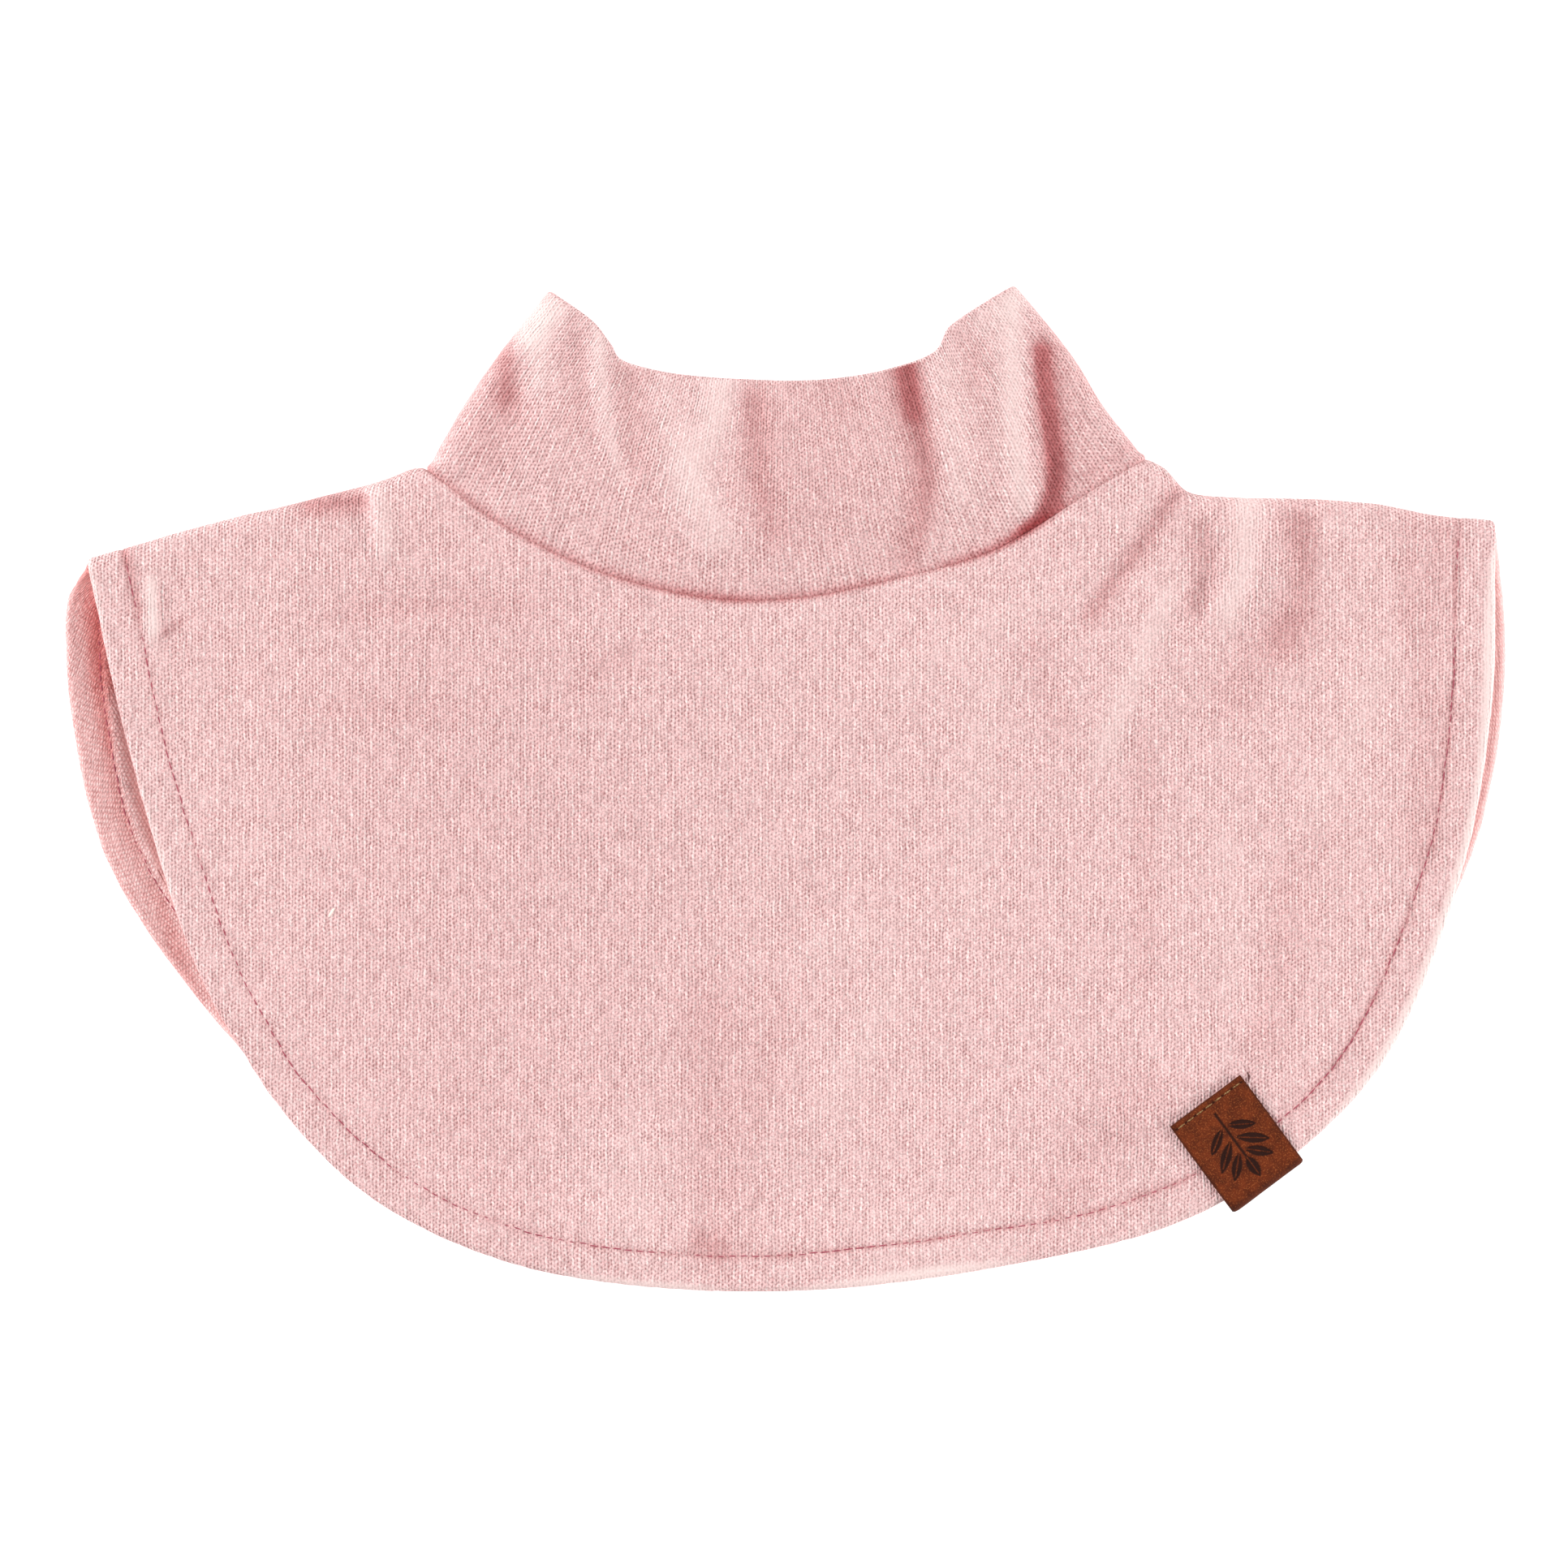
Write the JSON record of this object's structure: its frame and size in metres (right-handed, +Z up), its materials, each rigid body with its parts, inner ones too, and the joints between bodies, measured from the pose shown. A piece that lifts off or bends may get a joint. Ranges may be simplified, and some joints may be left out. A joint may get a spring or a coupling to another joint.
{
  "type": "neck warmer",
  "caption": "Knitted bib-style neck warmer lying flat: a wide bib with a turned hem, a doubled standing collar and a folded leather tab on the hem.",
  "frame": {"origin": "on the ground under the middle of the whole piece's outline, seen from above", "axes": "+X runs across the bib to the right of a viewer above it, +Y from the bottom hem to the collar's rim, and +Z up, through the front of the bib"},
  "size_m": [0.3373, 0.2353, 0.0175],
  "materials": {
    "bib_knit": "fine dusty-pink stocking stitch, matt, softly fuzzy",
    "collar_knit": "the same fine dusty-pink stocking stitch, doubled",
    "label_leather": "waxed tawny-brown leather, grainy, with worn edges"
  },
  "bodies": {
    "root": {"bib": "bib_knit", "collar": "collar_knit", "label": "label_leather"}
  },
  "joints": []
}
